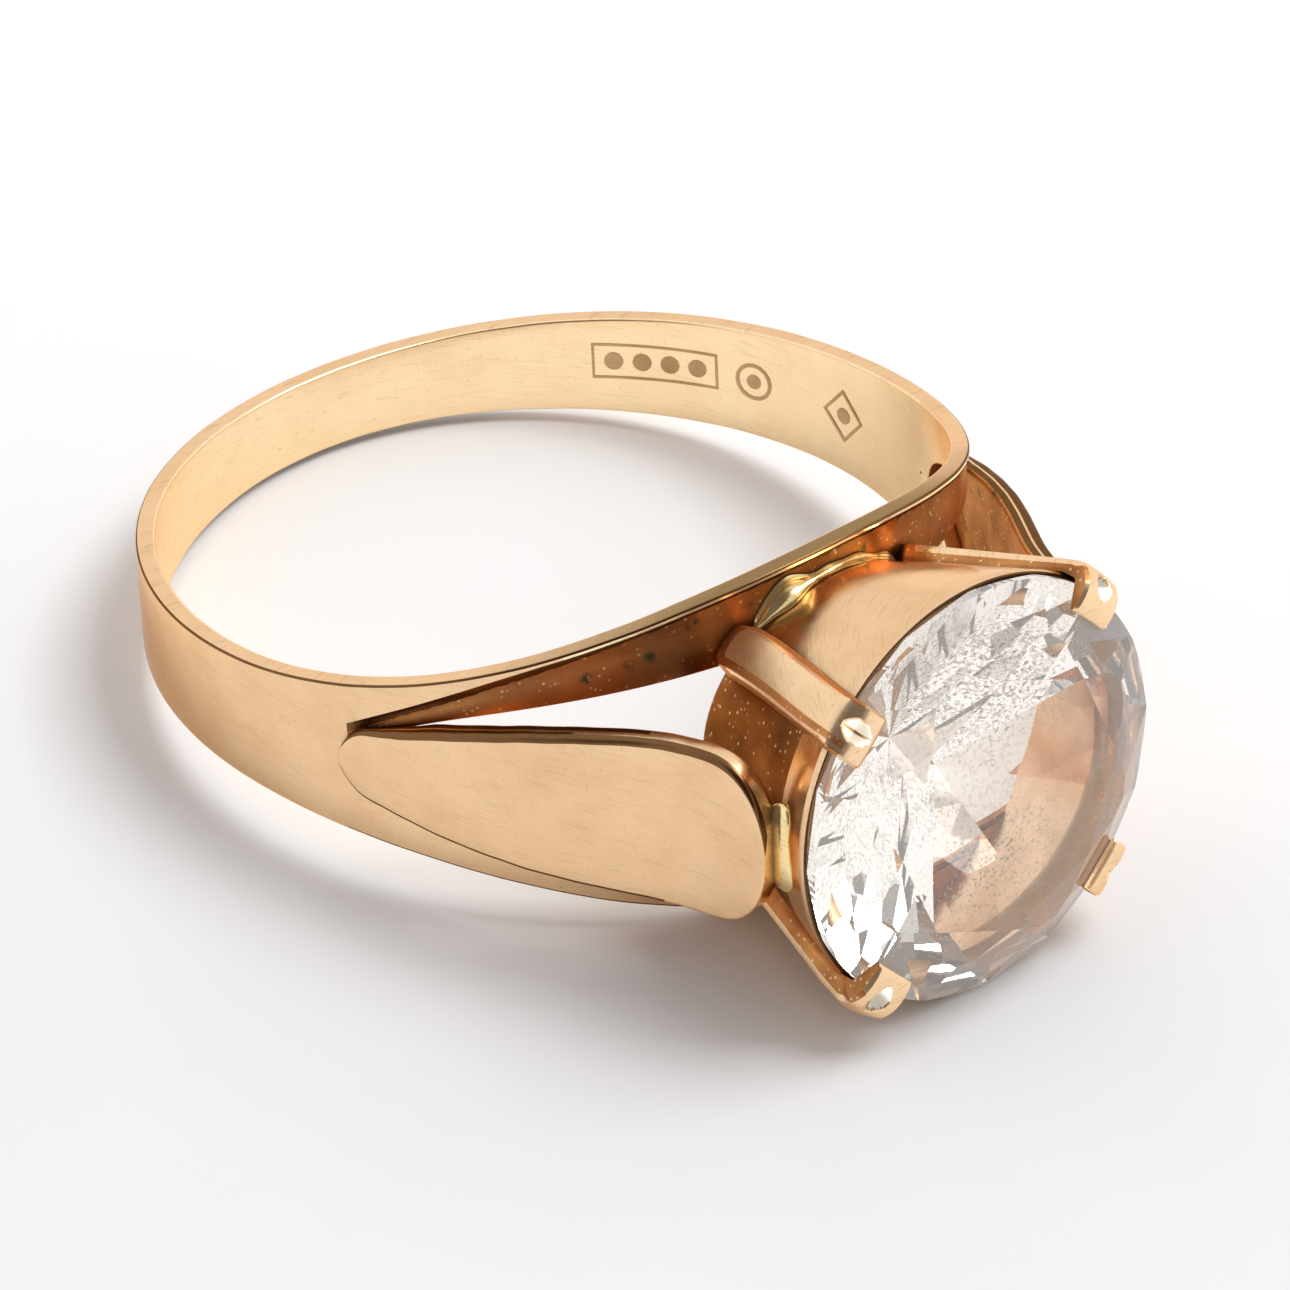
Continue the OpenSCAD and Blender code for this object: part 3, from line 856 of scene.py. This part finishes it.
# Painted highlight: a pale, glowing gold for the bright line along the upper strip's edge
SHINE_PAINT = gold("gold_painted_shine_edge", (1.0, 0.80, 0.50), 0.18, tint=(0.95, 0.66, 0.28), cloud=0.9,
              scratch=0.8, crevice_dirt_and_shade=0.5, painted_glare=0.16)
# The solder glows faintly, painted glare
SOLDER = gold("gold_solder", (1.0, 0.78, 0.40), 0.16, tint=(0.50, 0.33, 0.12), cloud=0.7, crevice_dirt_and_shade=0.6,
              green=0.4, scratch=1.0, painted_glare=0.05)
# The punch marks are thin plates just proud of the inner wall, coloured a flat dark brown
STAMP_DARK = gold("stamp_dark_brown", (0.64, 0.42, 0.22), 0.5, tint=(0.62, 0.33, 0.14), metal=0.7, crevice_dirt_and_shade=0.0)

GOLDS = [GOLD, PAINTED_DARK_EDGE, RAW, INNER_GLOW_PAINT, SHINE_PAINT, RIM]

# ---------------------------------------------------------------- pieces
add_piece("band_hoop", make_band(), GOLDS, ["band"])
add_piece("bridge_strip_upper", make_bridge(1), GOLDS, ["bridge_upper"])
add_piece("bridge_strip_lower", make_bridge(-1), GOLDS, ["bridge_lower"])
add_piece("leaf_plate_left", make_leaf(-1), GOLDS, ["leaf_left"])
add_piece("leaf_plate_right", make_leaf(1), GOLDS, ["leaf_right"])
add_piece("collet_cup", make_collet(), [CUP, PAINTED_DARK_EDGE, CUP_RAW_AND_SHADE, CUP_IN],
          ["collet"], sharp=40)
add_piece("bearing_ledge", make_bearing(), [CUP_IN], ["bearing"], sharp=40)
for nm, turn, tip_r, face_x, skew, slim, raw_and_reflection_stripe, cut_from, cut_to, reflection_flank_from in (
        ("upper_left", 135, 4.30, 13.86, 0.42, 0.0, (0.44, 0.72), 1.00, 0.20, 0.84),
        ("upper_right", 45, 4.08, 13.86, 0.30, 0.14, (0.90, 1.1), 1.15, 0.50, 1.1),
        ("lower_left", 225, 4.12, 13.90, 0.0, 0.0, (-1.1, -0.86), 1.10, 0.30, 1.1),
        ("lower_right", 315, 4.10, 13.86, 0.0, 0.28, (-1.1, -0.86), 0.9, 0.30, 1.1)):
    claw = make_claw(math.radians(turn), tip_r, face_x, skew, slim, raw_and_reflection_stripe, cut_from, cut_to, reflection_flank_from)
    add_piece("claw_bar_" + nm, claw, [CLAW, RAW, FILED_SHINE_PAINT], ["claw_" + nm])
CRYSTALS = [crystal("rock_crystal", False), crystal("rock_crystal_back", True)]
add_piece("cut_stone", make_stone(), CRYSTALS, ["stone"], smooth_faces=False)
add_piece("solder_run_upper", make_solder_run(1), [SOLDER], ["solder_upper"], sharp=60)
add_piece("solder_run_lower", make_solder_run(-1), [SOLDER], ["solder_lower"], sharp=60)
add_piece("solder_bead_left", make_solder_bead(-1), [SOLDER], ["solder_left"], sharp=60)
add_piece("solder_bead_right", make_solder_bead(1), [SOLDER], ["solder_right"], sharp=60)
add_piece("inside_stamps", make_stamps(), [STAMP_DARK])

# ---------------------------------------------------------------- stage, light and camera
floor_z = min(cad_box[0][2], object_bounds()[0][2])
bm = bmesh.new()
bmesh.ops.create_grid(bm, x_segments=2, y_segments=2, size=1.5)
me = bpy.data.meshes.new("floor")
bm.to_mesh(me)
bm.free()
floor = bpy.data.objects.new("floor", me)
floor.location.z = floor_z - 0.01 * MM
bpy.context.scene.collection.objects.link(floor)
fm, ft, fb = nodes_of("floor_white")
fb.inputs["Roughness"].default_value = 0.8
fb.inputs["Specular IOR Level"].default_value = 0.2
fco = node(ft, "ShaderNodeTexCoord").outputs["Object"]
# Painted shade: the floor colour runs darker towards the camera, standing in for the light falling off; a
# faint mottle lies on top
floor_falloff_dir = node(ft, "ShaderNodeVectorMath", operation="DOT_PRODUCT")
floor_falloff_dir.inputs[1].default_value = (14.0, -14.0, 0.0)
ft.links.new(fco, floor_falloff_dir.inputs[0])
fmap = node(ft, "ShaderNodeMapRange")
fmap.inputs["From Min"].default_value = -0.3
fmap.inputs["From Max"].default_value = 0.3
ft.links.new(floor_falloff_dir.outputs["Value"], fmap.inputs["Value"])
floor_painted_falloff = ramp(ft, fmap.outputs["Result"], [(0.0, (0.93, 0.93, 0.935)), (1.0, (0.84, 0.84, 0.85))])
fmot = ramp(ft, noise_tex(ft, fco, 160.0, 4.0), [(0.35, (0.985, 0.985, 0.985)), (0.65, (1.0, 1.0, 1.0))])
ft.links.new(mix(ft, 1.0, floor_painted_falloff, fmot, "MULTIPLY"), fb.inputs["Base Color"])
me.materials.append(fm)


def camera_axes(az, el, roll):
    """Right, up and back directions of a camera that looks at the origin."""
    b = Vector((math.sin(az) * math.cos(el), -math.cos(az) * math.cos(el), math.sin(el)))
    r = Vector((0, 0, 1)).cross(b).normalized()
    u = b.cross(r)
    c, s = math.cos(roll), math.sin(roll)
    return c * r + s * u, -s * r + c * u, b


r, u, b = camera_axes(math.radians(49.99), math.radians(30.81), math.radians(-2.73))
turn = Matrix.Rotation(-TILT, 3, "Y")
r, u, b = turn @ r, turn @ u, turn @ b
cam = bpy.data.cameras.new("camera")
cam.sensor_width = 36
cam.lens = 261.14
cam.clip_start = 0.002
cam.clip_end = 50
camera = bpy.data.objects.new("camera", cam)
camera.matrix_world = Matrix.Translation((r * 1.917 - u * 1.842 + b * 200.36) * MM) @ Matrix(
    ((r.x, u.x, b.x), (r.y, u.y, b.y), (r.z, u.z, b.z))).to_4x4()
bpy.context.scene.collection.objects.link(camera)
bpy.context.scene.camera = camera

world = bpy.data.worlds.new("studio")
bpy.context.scene.world = world
world.use_nodes = True
wt = world.node_tree
bg = wt.nodes["Background"]
bg.inputs["Strength"].default_value = 0.92
dot = node(wt, "ShaderNodeVectorMath", operation="DOT_PRODUCT")
dot.inputs[1].default_value = b
wt.links.new(node(wt, "ShaderNodeTexCoord").outputs["Generated"], dot.inputs[0])
# white all round, and dark round the camera's place, as a camera and its stand would be
sky = ramp(wt, dot.outputs["Value"], [(0.64, (1.0, 1.0, 1.02)), (0.82, (0.12, 0.10, 0.09))])
wt.links.new(sky, bg.inputs["Color"])


key = bpy.data.lights.new("softbox_key", "AREA")
key.size = 0.26
key.energy = 1.30
softbox = bpy.data.objects.new("softbox_key", key)
softbox.location = turn @ Vector((0.36, 0.40, 0.84)) * 0.5
softbox.rotation_euler = (-softbox.location).to_track_quat("-Z", "Y").to_euler()
bpy.context.scene.collection.objects.link(softbox)
bpy.context.scene.view_settings.view_transform = "Standard"
